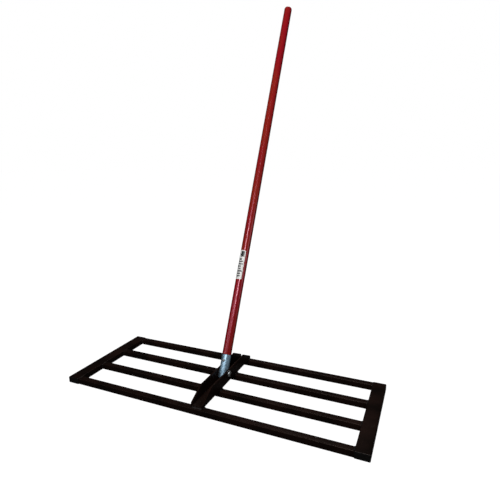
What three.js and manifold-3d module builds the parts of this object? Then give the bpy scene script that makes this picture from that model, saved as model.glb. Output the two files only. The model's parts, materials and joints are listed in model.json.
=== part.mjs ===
// Lawn levelling rake: a welded head of square steel tubes with a pivoting wooden handle.
// Millimetres, +Z up. The head lies flat on Z = 0 with its long side along X.
// The handle pivots on a bolt along X and leans back towards +Y.
// The origin is at the middle of the underside of the whole tool's bounding box.

import * as THREE from "three";
import { mergeVertices } from "three/addons/utils/BufferGeometryUtils.js";
import Module from "manifold-3d";

const wasm = await Module();
wasm.setup();

const INCH = 25.4;

// Head frame: four square bars between two flat rectangular end tubes.
const HEAD_WIDTH = 36 * INCH;
const HEAD_DEPTH = 13 * INCH;
const BAR_SIZE = 0.75 * INCH;
const END_TUBE_WIDTH = 1.5 * INCH;
const TUBE_WALL = 1.65;
const TUBE_CORNER = 2.7;
const BAR_NAMES = ["front_bar", "front_middle_bar", "rear_middle_bar", "rear_bar"];

// Plastic plugs in the open ends of the two end tubes.
const PLUG_FLANGE = 1.2;
const PLUG_EDGE = 0.8;
const PLUG_REACH = 14;
const PLUG_CORE_CLEARANCE = 0.9;
const PLUG_CORE_WALL = 1.5;
const PLUG_FIN = 1.2;
const PLUG_FIN_PITCH = 3.8;
const PLUG_FIN_COUNT = 3;

// Pivot channel: an open-topped U that stands across the bars.
const CHANNEL_WIDTH = 1.5 * INCH;
const CHANNEL_HEIGHT = 38.6;
const CHANNEL_LENGTH = 12.5 * INCH;
const CHANNEL_WALL = (3 / 16) * INCH;
const CHANNEL_BEND = 4.6;
const CHANNEL_SLOPE_LENGTH = 2 * INCH;
const CHANNEL_END_HEIGHT = 0.47 * INCH;

// Pivot hardware: a 5/16 inch carriage bolt, a flat washer and a thin lock nut with a plastic insert.
const PIVOT_HEIGHT = 45;
const BOLT_DIAMETER = (5 / 16) * INCH;
const BOLT_LENGTH = 1.875 * INCH;
const BOLT_CHAMFER = 0.8;
const BOLT_HEAD_DIAMETER = 17.5;
const BOLT_HEAD_HEIGHT = 4.2;
const BOLT_HEAD_RIM = 0.7;
const BOLT_NECK_LENGTH = 4.6;
const WASHER_DIAMETER = 16;
const WASHER_THICKNESS = 1.2;
const NUT_ACROSS_FLATS = 0.5 * INCH;
const NUT_HEX_HEIGHT = 4.3;
const NUT_COLLAR_HEIGHT = 1.7;
const NUT_COLLAR_DIAMETER = 11.6;
const INSERT_DIAMETER = 10;
const INSERT_THICKNESS = 1.5;

// Handle: distances along it are measured from the pivot.
const HANDLE_LEAN = 26.2;
const FERRULE_DIAMETER = 27.8;
const FERRULE_WALL = 2;
const FERRULE_LOWER_END = -15;
const FERRULE_UPPER_END = 54;
const WOOD_LOWER_DIAMETER = 28.1;
const WOOD_UPPER_DIAMETER = 27.3;
const TENON_LOWER_END = 9;
const HANDLE_TOP = 1316;
const HANDLE_DOME = 9;
const SHOULDER_ROUND = 0.8;

// Two wood screws hold the ferrule, one from the front and one from the back.
const SCREW_DIAMETER = 4.2;
const SCREW_LENGTH = 12.5;
const SCREW_POINT = 4;
const SCREW_HEAD_DIAMETER = 8;
const SCREW_HEAD_HEIGHT = 2.2;
const SCREW_SLOT = 1.1;
const SCREW_SLOT_LENGTH = 5;
const SCREW_SLOT_DEPTH = 1.1;
const FRONT_SCREW_AT = 36;
const REAR_SCREW_AT = 24;

// Paper label wrapped round the front of the handle, turned a little towards the left.
const LABEL_LOWER_END = 287;
const LABEL_LENGTH = 94;
const LABEL_WIDTH = INCH;
const LABEL_TURN = 13;
const LABEL_THICKNESS = 0.4;
const LABEL_STEPS = 16;

const GAP = 0.25;
const ROUND_SIDES = 48;
const CORNER_STEPS = 4;
const PLUG_CORNER_STEPS = 2;

const paint = { color: 0x16110f, roughness: 0.45, metalness: 0.3 };
const zinc = { color: 0xb9c2c9, roughness: 0.35, metalness: 0.9 };
const galvanised = { color: 0xbccbd8, roughness: 0.4, metalness: 0.85 };
const lacquer = { color: 0x8c1c22, roughness: 0.35, metalness: 0 };
const blackPlastic = { color: 0x0d0d0e, roughness: 0.55, metalness: 0 };
const nylon = { color: 0x2a4f9a, roughness: 0.5, metalness: 0 };
const paper = { color: 0xf1f0ea, roughness: 0.5, metalness: 0 };

// Solids: closed geometries go to the boolean library and come back as flat-shaded geometry.

function toSolid(geometry) {
  const bare = geometry.clone();
  bare.deleteAttribute("normal");
  bare.deleteAttribute("uv");
  const merged = mergeVertices(bare);
  return new wasm.Manifold(new wasm.Mesh({
    numProp: 3,
    vertProperties: new Float32Array(merged.attributes.position.array),
    triVerts: new Uint32Array(merged.index.array),
  }));
}

function toGeometry(solid) {
  const mesh = solid.getMesh();
  const geometry = new THREE.BufferGeometry();
  geometry.setAttribute("position", new THREE.BufferAttribute(new Float32Array(mesh.vertProperties), 3));
  geometry.setIndex(new THREE.BufferAttribute(new Uint32Array(mesh.triVerts), 1));
  geometry.computeVertexNormals();
  return geometry;
}

function roundedRectangle(width, height, radius) {
  const x = width / 2 - radius;
  const y = height / 2 - radius;
  const shape = new THREE.Shape();
  shape.absarc(x, y, radius, 0, Math.PI / 2);
  shape.absarc(-x, y, radius, Math.PI / 2, Math.PI);
  shape.absarc(-x, -y, radius, Math.PI, 1.5 * Math.PI);
  shape.absarc(x, -y, radius, 1.5 * Math.PI, 2 * Math.PI);
  shape.closePath();
  return shape;
}

function extrude(shape, depth, curveSegments = CORNER_STEPS) {
  return new THREE.ExtrudeGeometry(shape, { depth, bevelEnabled: false, curveSegments });
}

function tubeGeometry(width, height, length) {
  const section = roundedRectangle(width, height, TUBE_CORNER);
  const bore = roundedRectangle(width - 2 * TUBE_WALL, height - 2 * TUBE_WALL, TUBE_CORNER - TUBE_WALL);
  section.holes.push(bore);
  return extrude(section, length).translate(0, 0, -length / 2);
}

// A solid of revolution about Z, from [radius, z] corners.
function turned(corners, sides = ROUND_SIDES) {
  const points = corners.map(([radius, z]) => new THREE.Vector2(radius, z));
  return new THREE.LatheGeometry(points, sides).rotateX(Math.PI / 2);
}

function ringCorners(inner, outer, low, high) {
  return [[inner, low], [outer, low], [outer, high], [inner, high], [inner, low]];
}

function cylinderAlongZ(diameter, low, high) {
  return turned([[0, low], [diameter / 2, low], [diameter / 2, high], [0, high]]);
}

function piece(name, geometry, look) {
  const mesh = new THREE.Mesh(geometry, new THREE.MeshStandardMaterial(look));
  mesh.name = name;
  return mesh;
}

// Head frame

function barGeometry() {
  const length = HEAD_WIDTH - 2 * END_TUBE_WIDTH - 2 * GAP;
  return tubeGeometry(BAR_SIZE, BAR_SIZE, length).rotateY(Math.PI / 2);
}

function makeBars() {
  const pitch = (HEAD_DEPTH - BAR_SIZE) / (BAR_NAMES.length - 1);
  return BAR_NAMES.map((name, index) => {
    const bar = piece(name, barGeometry(), paint);
    bar.position.set(0, (BAR_SIZE - HEAD_DEPTH) / 2 + index * pitch, BAR_SIZE / 2);
    return bar;
  });
}

function plugGeometry() {
  const face = roundedRectangle(
    END_TUBE_WIDTH - 2 * PLUG_EDGE, BAR_SIZE - 2 * PLUG_EDGE, TUBE_CORNER - PLUG_EDGE);
  const rounded = new THREE.ExtrudeGeometry(face, {
    depth: PLUG_FLANGE,
    bevelThickness: PLUG_EDGE,
    bevelSize: PLUG_EDGE,
    bevelSegments: 3,
    curveSegments: CORNER_STEPS,
  }).translate(0, 0, -PLUG_EDGE);
  const backHalf = new THREE.BoxGeometry(2 * END_TUBE_WIDTH, 2 * END_TUBE_WIDTH, 2 * PLUG_REACH)
    .translate(0, 0, -PLUG_REACH);
  const boreWidth = END_TUBE_WIDTH - 2 * TUBE_WALL;
  const boreHeight = BAR_SIZE - 2 * TUBE_WALL;
  const core = roundedRectangle(
    boreWidth - 2 * PLUG_CORE_CLEARANCE, boreHeight - 2 * PLUG_CORE_CLEARANCE, 1);
  const pocketInset = 2 * (PLUG_CORE_CLEARANCE + PLUG_CORE_WALL);
  core.holes.push(roundedRectangle(boreWidth - pocketInset, boreHeight - pocketInset, 0.5));
  let solid = toSolid(rounded).subtract(toSolid(backHalf));
  const cup = extrude(core, PLUG_REACH + 1, PLUG_CORNER_STEPS).translate(0, 0, -PLUG_REACH);
  solid = solid.add(toSolid(cup));
  for (let fin = 0; fin < PLUG_FIN_COUNT; fin += 1) {
    const outline = roundedRectangle(boreWidth - 2 * GAP, boreHeight - 2 * GAP, 1);
    outline.holes.push(roundedRectangle(boreWidth - pocketInset, boreHeight - pocketInset, 0.5));
    const ring = extrude(outline, PLUG_FIN, PLUG_CORNER_STEPS)
      .translate(0, 0, -PLUG_FIN_PITCH * (fin + 1));
    solid = solid.add(toSolid(ring));
  }
  return toGeometry(solid);
}

function makeEnd(side, x) {
  const tube = piece(`${side}_end_tube`, tubeGeometry(END_TUBE_WIDTH, BAR_SIZE, HEAD_DEPTH), paint);
  tube.rotation.x = Math.PI / 2;
  tube.position.set(x, 0, BAR_SIZE / 2);
  const frontPlug = piece(`${side}_front_plug`, plugGeometry(), blackPlastic);
  frontPlug.rotation.x = Math.PI / 2;
  frontPlug.position.set(x, -HEAD_DEPTH / 2 - GAP, BAR_SIZE / 2);
  const rearPlug = piece(`${side}_rear_plug`, plugGeometry(), blackPlastic);
  rearPlug.rotation.x = -Math.PI / 2;
  rearPlug.position.set(x, HEAD_DEPTH / 2 + GAP, BAR_SIZE / 2);
  return [tube, frontPlug, rearPlug];
}

// Pivot channel, with its underside at Z = 0 in its own space

function channelGeometry() {
  const half = CHANNEL_WIDTH / 2;
  const inner = half - CHANNEL_WALL;
  const section = new THREE.Shape();
  section.moveTo(-half, CHANNEL_HEIGHT);
  section.absarc(-half + CHANNEL_BEND, CHANNEL_BEND, CHANNEL_BEND, Math.PI, 1.5 * Math.PI);
  section.absarc(half - CHANNEL_BEND, CHANNEL_BEND, CHANNEL_BEND, 1.5 * Math.PI, 2 * Math.PI);
  section.lineTo(half, CHANNEL_HEIGHT);
  section.lineTo(inner, CHANNEL_HEIGHT);
  section.lineTo(inner, CHANNEL_WALL);
  section.lineTo(-inner, CHANNEL_WALL);
  section.lineTo(-inner, CHANNEL_HEIGHT);
  section.closePath();
  const trough = extrude(section, CHANNEL_LENGTH)
    .translate(0, 0, -CHANNEL_LENGTH / 2)
    .rotateX(Math.PI / 2);

  const end = CHANNEL_LENGTH / 2;
  const full = end - CHANNEL_SLOPE_LENGTH;
  const side = new THREE.Shape();
  side.moveTo(-end, -1);
  side.lineTo(end, -1);
  side.lineTo(end, CHANNEL_END_HEIGHT);
  side.lineTo(full, CHANNEL_HEIGHT);
  side.lineTo(-full, CHANNEL_HEIGHT);
  side.lineTo(-end, CHANNEL_END_HEIGHT);
  side.closePath();
  const envelope = extrude(side, 2 * CHANNEL_WIDTH)
    .translate(0, 0, -CHANNEL_WIDTH)
    .rotateX(Math.PI / 2)
    .rotateZ(Math.PI / 2);

  const boltAt = PIVOT_HEIGHT - BAR_SIZE - GAP;
  const holeSize = BOLT_DIAMETER + 2 * GAP;
  const roundHole = cylinderAlongZ(holeSize, -CHANNEL_WIDTH, 0)
    .rotateY(Math.PI / 2)
    .translate(0, 0, boltAt);
  const squareHole = new THREE.BoxGeometry(CHANNEL_WIDTH / 2, holeSize, holeSize)
    .translate(half, 0, boltAt);
  return toGeometry(toSolid(trough)
    .intersect(toSolid(envelope))
    .subtract(toSolid(roundHole))
    .subtract(toSolid(squareHole)));
}

// Pivot hardware, along Z with the clamped face at Z = 0

function hexagon() {
  const corner = NUT_ACROSS_FLATS / Math.sqrt(3);
  const shape = new THREE.Shape();
  for (let i = 0; i < 6; i += 1) {
    const angle = (i * Math.PI) / 3;
    const x = corner * Math.cos(angle);
    const y = corner * Math.sin(angle);
    if (i === 0) {
      shape.moveTo(x, y);
    } else {
      shape.lineTo(x, y);
    }
  }
  shape.closePath();
  return shape;
}

// A hexagonal block whose far corners are turned down by a 30 degree chamfer.
function hexBlock(height) {
  const corner = NUT_ACROSS_FLATS / Math.sqrt(3) + 0.1;
  const flat = NUT_ACROSS_FLATS / 2;
  const drop = (corner - flat) * Math.tan(Math.PI / 6);
  const turning = turned([[0, 0], [corner, 0], [corner, height - drop], [flat, height], [0, height]]);
  return toSolid(extrude(hexagon(), height)).intersect(toSolid(turning));
}

// A carriage bolt: a domed head on a square neck, then a round shank.
function boltGeometry() {
  const radius = BOLT_DIAMETER / 2;
  const headRadius = BOLT_HEAD_DIAMETER / 2;
  const corners = [
    [0, -BOLT_LENGTH],
    [radius - BOLT_CHAMFER, -BOLT_LENGTH],
    [radius, BOLT_CHAMFER - BOLT_LENGTH],
    [radius, 0],
    [headRadius, 0],
  ];
  const domeSteps = 6;
  for (let i = 0; i < domeSteps; i += 1) {
    const angle = (i / domeSteps) * (Math.PI / 2);
    const rise = (BOLT_HEAD_HEIGHT - BOLT_HEAD_RIM) * Math.sin(angle);
    corners.push([headRadius * Math.cos(angle), BOLT_HEAD_RIM + rise]);
  }
  corners.push([0, BOLT_HEAD_HEIGHT]);
  const neck = new THREE.BoxGeometry(BOLT_DIAMETER, BOLT_DIAMETER, BOLT_NECK_LENGTH)
    .translate(0, 0, BOLT_HEAD_RIM / 2 - BOLT_NECK_LENGTH / 2);
  return toGeometry(toSolid(turned(corners)).add(toSolid(neck)));
}

function washerGeometry() {
  const bore = BOLT_DIAMETER / 2 + GAP;
  return turned(ringCorners(bore, WASHER_DIAMETER / 2, 0, WASHER_THICKNESS));
}

function nutGeometry() {
  const top = NUT_HEX_HEIGHT + NUT_COLLAR_HEIGHT;
  const collar = cylinderAlongZ(NUT_COLLAR_DIAMETER, NUT_HEX_HEIGHT - 1, top);
  const bore = cylinderAlongZ(BOLT_DIAMETER + 2 * GAP, -1, top + 1);
  const recess = cylinderAlongZ(INSERT_DIAMETER + 2 * GAP, top - INSERT_THICKNESS - 2 * GAP, top + 1);
  return toGeometry(
    hexBlock(NUT_HEX_HEIGHT).add(toSolid(collar)).subtract(toSolid(bore)).subtract(toSolid(recess)));
}

function insertGeometry() {
  const inner = BOLT_DIAMETER / 2 + GAP;
  const top = NUT_HEX_HEIGHT + NUT_COLLAR_HEIGHT - GAP;
  return turned(ringCorners(inner, INSERT_DIAMETER / 2, top - INSERT_THICKNESS, top));
}

function makePivotHardware() {
  const face = CHANNEL_WIDTH / 2 + GAP;
  const clamped = face + WASHER_THICKNESS + GAP;
  const layout = [
    ["pivot_bolt", boltGeometry(), zinc, face, 1],
    ["nut_washer", washerGeometry(), zinc, face, -1],
    ["lock_nut", nutGeometry(), zinc, clamped, -1],
    ["nut_insert", insertGeometry(), nylon, clamped, -1],
  ];
  return layout.map(([name, geometry, look, distance, direction]) => {
    const mesh = piece(name, geometry, look);
    mesh.rotation.y = (direction * Math.PI) / 2;
    mesh.position.set(direction * distance, 0, PIVOT_HEIGHT);
    return mesh;
  });
}

// Handle parts, along Z with the pivot at Z = 0

function woodRadius(distance) {
  const share = (distance - FERRULE_UPPER_END) / (HANDLE_TOP - FERRULE_UPPER_END);
  return THREE.MathUtils.lerp(WOOD_LOWER_DIAMETER, WOOD_UPPER_DIAMETER, share) / 2;
}

// A screw hole from outside to the axis; direction -1 is the front and 1 is the back.
function screwHole(direction, distance) {
  const reach = direction * FERRULE_DIAMETER;
  const start = direction * (FERRULE_DIAMETER / 2 - SCREW_LENGTH - GAP);
  const low = Math.min(start, reach);
  const high = Math.max(start, reach);
  return toSolid(cylinderAlongZ(SCREW_DIAMETER + 2 * GAP, -high, -low)
    .rotateX(Math.PI / 2)
    .translate(0, 0, distance));
}

function ferruleGeometry() {
  const outer = FERRULE_DIAMETER / 2;
  const tube = turned(ringCorners(outer - FERRULE_WALL, outer, FERRULE_LOWER_END, FERRULE_UPPER_END));
  const boltHole = cylinderAlongZ(BOLT_DIAMETER + 2 * GAP, -FERRULE_DIAMETER, FERRULE_DIAMETER)
    .rotateY(Math.PI / 2);
  return toGeometry(toSolid(tube)
    .subtract(toSolid(boltHole))
    .subtract(screwHole(-1, FRONT_SCREW_AT))
    .subtract(screwHole(1, REAR_SCREW_AT)));
}

function woodGeometry() {
  const tenon = FERRULE_DIAMETER / 2 - FERRULE_WALL - GAP;
  const shoulder = FERRULE_UPPER_END + GAP;
  const domeBase = HANDLE_TOP - HANDLE_DOME;
  const domeRadius = woodRadius(domeBase);
  const corners = [
    [0, TENON_LOWER_END],
    [tenon - SHOULDER_ROUND, TENON_LOWER_END],
    [tenon, TENON_LOWER_END + SHOULDER_ROUND],
    [tenon, shoulder],
    [woodRadius(shoulder) - SHOULDER_ROUND, shoulder],
    [woodRadius(shoulder), shoulder + SHOULDER_ROUND],
  ];
  const domeSteps = 8;
  for (let i = 0; i < domeSteps; i += 1) {
    const angle = (i / domeSteps) * (Math.PI / 2);
    corners.push([domeRadius * Math.cos(angle), domeBase + HANDLE_DOME * Math.sin(angle)]);
  }
  corners.push([0, HANDLE_TOP]);
  return toGeometry(toSolid(turned(corners))
    .subtract(screwHole(-1, FRONT_SCREW_AT))
    .subtract(screwHole(1, REAR_SCREW_AT)));
}

// A slotted pan-head screw along Z, its point at the bottom and its head resting at Z = 0.
function screwGeometry() {
  const shank = SCREW_DIAMETER / 2;
  const head = SCREW_HEAD_DIAMETER / 2;
  const body = turned([
    [0, -SCREW_LENGTH],
    [shank, SCREW_POINT - SCREW_LENGTH],
    [shank, 0],
    [head, 0],
    [head, 0.5 * SCREW_HEAD_HEIGHT],
    [0.9 * head, 0.8 * SCREW_HEAD_HEIGHT],
    [0.6 * head, SCREW_HEAD_HEIGHT],
    [0, SCREW_HEAD_HEIGHT],
  ], 24);
  const slot = new THREE.BoxGeometry(SCREW_SLOT_LENGTH, SCREW_SLOT, 2 * SCREW_SLOT_DEPTH)
    .translate(0, 0, SCREW_HEAD_HEIGHT);
  return toGeometry(toSolid(body).subtract(toSolid(slot)));
}

function makeScrew(name, direction, distance) {
  const screw = piece(name, screwGeometry(), zinc);
  screw.rotation.x = (-direction * Math.PI) / 2;
  screw.position.set(0, direction * (FERRULE_DIAMETER / 2 + GAP), distance);
  return screw;
}

function labelGeometry() {
  const inner = woodRadius(LABEL_LOWER_END) + GAP;
  const outer = inner + LABEL_THICKNESS;
  const halfAngle = LABEL_WIDTH / inner / 2;
  const front = -Math.PI / 2 - THREE.MathUtils.degToRad(LABEL_TURN);
  const section = new THREE.Shape();
  section.absarc(0, 0, outer, front - halfAngle, front + halfAngle);
  section.absarc(0, 0, inner, front + halfAngle, front - halfAngle, true);
  section.closePath();
  return extrude(section, LABEL_LENGTH, LABEL_STEPS).translate(0, 0, LABEL_LOWER_END);
}

// Assembly

const head = new THREE.Group();
const endX = (HEAD_WIDTH - END_TUBE_WIDTH) / 2;
const channel = piece("pivot_channel", channelGeometry(), paint);
channel.position.z = BAR_SIZE + GAP;
head.add(
  ...makeBars(),
  ...makeEnd("left", -endX),
  ...makeEnd("right", endX),
  channel,
  ...makePivotHardware(),
);

const handle = new THREE.Group();
handle.position.z = PIVOT_HEIGHT;
handle.rotation.x = -THREE.MathUtils.degToRad(HANDLE_LEAN);
handle.add(
  piece("ferrule", ferruleGeometry(), galvanised),
  piece("wood_handle", woodGeometry(), lacquer),
  makeScrew("front_ferrule_screw", -1, FRONT_SCREW_AT),
  makeScrew("rear_ferrule_screw", 1, REAR_SCREW_AT),
  piece("handle_label", labelGeometry(), paper),
);

const rake = new THREE.Group();
rake.add(head, handle);
const extent = new THREE.Box3().setFromObject(rake, true);
rake.position.y = -(extent.min.y + extent.max.y) / 2;

export default rake;
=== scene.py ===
"""Lawn levelling rake: the visible model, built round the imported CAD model."""

import json
import math

import bmesh
import bpy
from mathutils import Matrix, Vector, noise


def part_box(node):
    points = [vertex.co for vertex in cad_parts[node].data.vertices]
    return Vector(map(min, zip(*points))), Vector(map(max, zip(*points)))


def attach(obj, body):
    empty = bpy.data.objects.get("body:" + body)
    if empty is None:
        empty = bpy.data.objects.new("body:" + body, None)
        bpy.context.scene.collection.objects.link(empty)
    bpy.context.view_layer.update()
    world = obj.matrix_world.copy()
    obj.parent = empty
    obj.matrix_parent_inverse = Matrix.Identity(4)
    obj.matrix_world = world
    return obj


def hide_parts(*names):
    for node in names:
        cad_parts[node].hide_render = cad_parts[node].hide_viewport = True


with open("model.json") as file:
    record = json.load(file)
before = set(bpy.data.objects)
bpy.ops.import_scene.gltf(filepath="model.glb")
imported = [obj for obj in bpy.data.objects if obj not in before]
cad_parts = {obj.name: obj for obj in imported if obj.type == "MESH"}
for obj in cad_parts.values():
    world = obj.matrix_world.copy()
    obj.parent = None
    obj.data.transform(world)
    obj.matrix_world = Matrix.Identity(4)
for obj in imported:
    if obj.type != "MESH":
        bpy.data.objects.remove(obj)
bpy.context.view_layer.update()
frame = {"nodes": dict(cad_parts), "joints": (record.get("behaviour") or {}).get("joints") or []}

MM = 0.001
INCH = 25.4 * MM

# Sections and small radii that the boxes of the CAD nodes don't give.
TUBE_WALL = 1.65 * MM
TUBE_CORNER = 2.7 * MM
CUT_EDGE = 0.35 * MM
CHANNEL_WALL = 3 / 16 * INCH
CHANNEL_BEND = 4.6 * MM
CHANNEL_INNER_BEND = 1.6 * MM
CHANNEL_EDGE = 0.5 * MM
CHANNEL_SLOPE = 2 * INCH
CHANNEL_END_HEIGHT = 0.47 * INCH
CHANNEL_KINK = 4 * MM
FERRULE_WALL = 2 * MM
BOLT_DIAMETER = 5 / 16 * INCH
BOLT_HOLE = BOLT_DIAMETER + 0.5 * MM
BOLT_HOLE_REACH = 30 * MM
BOLT_PITCH = INCH / 18
BOLT_THREAD_LENGTH = 22 * MM
BOLT_SEAT = 0.02 * MM
BOLT_HEAD_RIM = 0.7 * MM
BOLT_NECK_LENGTH = 4.2 * MM
WASHER_CLEARANCE = 0.3 * MM
NUT_ACROSS_FLATS = 0.5 * INCH
NUT_HEX_HEIGHT = 4.3 * MM
NUT_COLLAR_RADIUS = 5.8 * MM
NUT_BORE_RADIUS = 3.75 * MM
INSERT_BORE_RADIUS = 3.6 * MM
INSERT_ROLL = 0.3 * MM

ROUND_SIDES = 96
FERRULE_SIDES = 128
HEX_SIDES = 180
CORNER_STEPS = 8
BOLT_DOME_STEPS = 12

# Edges that turn by more degrees than this are shaded sharp.
CREASE = 30
SOFT_CREASE = 50

# The handle lies flat at both limits of its joint, so the lower limit gives its lean at rest.
joint = frame["joints"][0]
pivot = Vector(joint["pos_m"])
lean = math.radians(90 + joint["range_deg"][0])
handle_space = Matrix.Translation(pivot) @ Matrix.Rotation(-lean, 4, "X")


def extent(node, space):
    """Lowest and highest corner of a CAD node, measured along the axes of a space."""
    inverse = space.inverted()
    points = [inverse @ vertex.co for vertex in frame["nodes"][node].data.vertices]
    low = Vector(min(point[axis] for point in points) for axis in range(3))
    high = Vector(max(point[axis] for point in points) for axis in range(3))
    return low, high


# Materials

class Shader:
    """A Principled material whose node tree is built up by short calls."""

    def __init__(self, name, on_handle=False, **uniform):
        self.on_handle = on_handle
        self.material = bpy.data.materials.new(name)
        self.material.use_nodes = True
        self.tree = self.material.node_tree
        self.principled = self.tree.nodes["Principled BSDF"]
        for socket, value in uniform.items():
            self.principled.inputs[socket.replace("_", " ")].default_value = value

    def node(self, kind, **settings):
        made = self.tree.nodes.new(kind)
        for key, value in settings.items():
            setattr(made, key, value)
        return made

    def put(self, value, socket):
        if isinstance(value, bpy.types.NodeSocket):
            self.tree.links.new(value, socket)
        else:
            socket.default_value = value

    def math(self, operation, first, second=0.0):
        made = self.node("ShaderNodeMath", operation=operation)
        for value, socket in zip((first, second), made.inputs):
            self.put(value, socket)
        return made.outputs[0]

    def place(self, scale=(1, 1, 1)):
        """Scaled coordinates, with Z along the handle for a material of the handle."""
        vector = self.node("ShaderNodeTexCoord").outputs["Object"]
        if self.on_handle:
            turned_back = self.node("ShaderNodeMapping", vector_type="TEXTURE")
            self.put(vector, turned_back.inputs["Vector"])
            turned_back.inputs["Location"].default_value = pivot
            turned_back.inputs["Rotation"].default_value = (-lean, 0, 0)
            vector = turned_back.outputs[0]
        mapping = self.node("ShaderNodeMapping")
        self.put(vector, mapping.inputs["Vector"])
        mapping.inputs["Scale"].default_value = scale
        return mapping.outputs[0]

    def noise(self, vector, scale, detail=3.0, roughness=0.5):
        made = self.node("ShaderNodeTexNoise")
        self.put(vector, made.inputs["Vector"])
        made.inputs["Scale"].default_value = scale
        made.inputs["Detail"].default_value = detail
        made.inputs["Roughness"].default_value = roughness
        return made.outputs["Fac"]

    def spread(self, value, low, high, to_low=0.0, to_high=1.0):
        made = self.node("ShaderNodeMapRange")
        for number, socket in zip((value, low, high, to_low, to_high), made.inputs):
            self.put(number, socket)
        return made.outputs[0]

    def mix(self, share, first, second):
        made = self.node("ShaderNodeMix", data_type="RGBA")
        self.put(share, made.inputs["Factor"])
        for value, socket in zip((first, second), (made.inputs[6], made.inputs[7])):
            self.put(value if isinstance(value, bpy.types.NodeSocket) else (*value, 1), socket)
        return made.outputs[2]

    def bump(self, height, distance, normal=None):
        made = self.node("ShaderNodeBump")
        made.inputs["Distance"].default_value = distance
        self.put(height, made.inputs["Height"])
        if normal is not None:
            self.put(normal, made.inputs["Normal"])
        return made.outputs[0]

    def feed(self, **sockets):
        for name, value in sockets.items():
            self.put(value, self.principled.inputs[name.replace("_", " ")])
        return self.material


def black_paint():
    """Baked enamel: orange peel, slight clouding, and a dusty, browner film in places."""
    s = Shader("black_paint", Specular_IOR_Level=0.09, Specular_Tint=(1, 0.78, 0.7, 1))
    cloud = s.noise(s.place(), 14, detail=4)
    dust = s.noise(s.place(), 55, detail=6, roughness=0.65)
    tone = s.mix(s.spread(cloud, 0.35, 0.68), (0.0044, 0.0025, 0.0019), (0.0125, 0.0055, 0.004))
    specks = s.spread(dust, 0.6, 0.78)
    color = s.mix(s.math("MULTIPLY", specks, 0.35), tone, (0.03, 0.026, 0.023))
    sheen = s.spread(cloud, 0.3, 0.7, 0.3, 0.42)
    roughness = s.math("ADD", sheen, s.math("MULTIPLY", specks, 0.12))
    peel = s.noise(s.place(), 900, detail=2)
    swell = s.noise(s.place(), 130, detail=2)
    normal = s.bump(swell, 0.06 * MM, normal=s.bump(peel, 0.018 * MM))
    return s.feed(Base_Color=color, Roughness=roughness, Normal=normal)


def weld_paint():
    """The same enamel over a weld bead, thinner on the ripples, with a trace of spatter."""
    s = Shader("weld_paint", Specular_IOR_Level=0.14)
    cloud = s.noise(s.place(), 160, detail=4)
    color = s.mix(s.spread(cloud, 0.4, 0.7), (0.005, 0.004, 0.0038), (0.018, 0.012, 0.01))
    grit = s.noise(s.place(), 1500, detail=3)
    normal = s.bump(grit, 0.03 * MM)
    return s.feed(Base_Color=color, Roughness=s.spread(cloud, 0.3, 0.7, 0.26, 0.4), Normal=normal)


def black_plastic():
    """Moulded polyethylene with a fine spark texture and faint scuffs."""
    s = Shader("black_plastic", Specular_IOR_Level=0.14)
    grain = s.noise(s.place(), 2600, detail=2)
    scuff = s.noise(s.place((1, 1, 6)), 120, detail=5, roughness=0.7)
    color = s.mix(s.spread(scuff, 0.55, 0.8), (0.005, 0.0045, 0.0042), (0.016, 0.013, 0.012))
    roughness = s.spread(scuff, 0.3, 0.8, 0.42, 0.62)
    normal = s.bump(grain, 0.02 * MM)
    return s.feed(Base_Color=color, Roughness=roughness, Normal=normal)


def zinc_plate(name, blue, straw):
    """Dull zinc with a faint blue and straw bloom and fine tool marks."""
    s = Shader(name, Metallic=1.0)
    bloom = s.noise(s.place(), 210, detail=3)
    marks = s.noise(s.place((1, 1, 14)), 900, detail=3)
    color = s.mix(s.spread(bloom, 0.35, 0.65), blue, straw)
    roughness = s.spread(marks, 0.3, 0.75, 0.36, 0.5)
    normal = s.bump(marks, 0.012 * MM)
    return s.feed(Base_Color=color, Roughness=roughness, Normal=normal)


def galvanised_steel():
    """Galvanised tube: small spangles, drawn lines along the tube and a few dull spots."""
    s = Shader("galvanised_steel", on_handle=True, Metallic=0.9)
    crystals = s.node("ShaderNodeTexVoronoi", feature="F1")
    s.put(s.place((1, 1, 0.6)), crystals.inputs["Vector"])
    crystals.inputs["Scale"].default_value = 230
    facet = s.node("ShaderNodeSeparateColor")
    s.put(crystals.outputs["Color"], facet.inputs[0])
    drawn = s.noise(s.place((1, 1, 0.02)), 1100, detail=3)
    dull = s.noise(s.place(), 320, detail=5, roughness=0.7)
    tone = s.mix(facet.outputs[0], (0.27, 0.42, 0.54), (0.42, 0.61, 0.77))
    stained = s.mix(s.spread(dull, 0.55, 0.7, 0, 0.6), tone, (0.16, 0.21, 0.25))
    shade = s.spread(facet.outputs[1], 0, 1, 0.4, 0.56)
    roughness = s.math("ADD", shade, s.spread(dull, 0.55, 0.8, 0, 0.15))
    normal = s.bump(drawn, 0.015 * MM, normal=s.bump(facet.outputs[2], 0.01 * MM))
    return s.feed(Base_Color=stained, Roughness=roughness, Normal=normal)


def nylon():
    """Dyed nylon ring, cut by the bolt's thread."""
    s = Shader("nylon", Specular_IOR_Level=0.4)
    swirl = s.noise(s.place(), 700, detail=3)
    color = s.mix(s.spread(swirl, 0.3, 0.7), (0.035, 0.09, 0.32), (0.07, 0.16, 0.46))
    return s.feed(Base_Color=color, Roughness=s.spread(swirl, 0.3, 0.7, 0.4, 0.55),
                  Normal=s.bump(swirl, 0.03 * MM))


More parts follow.
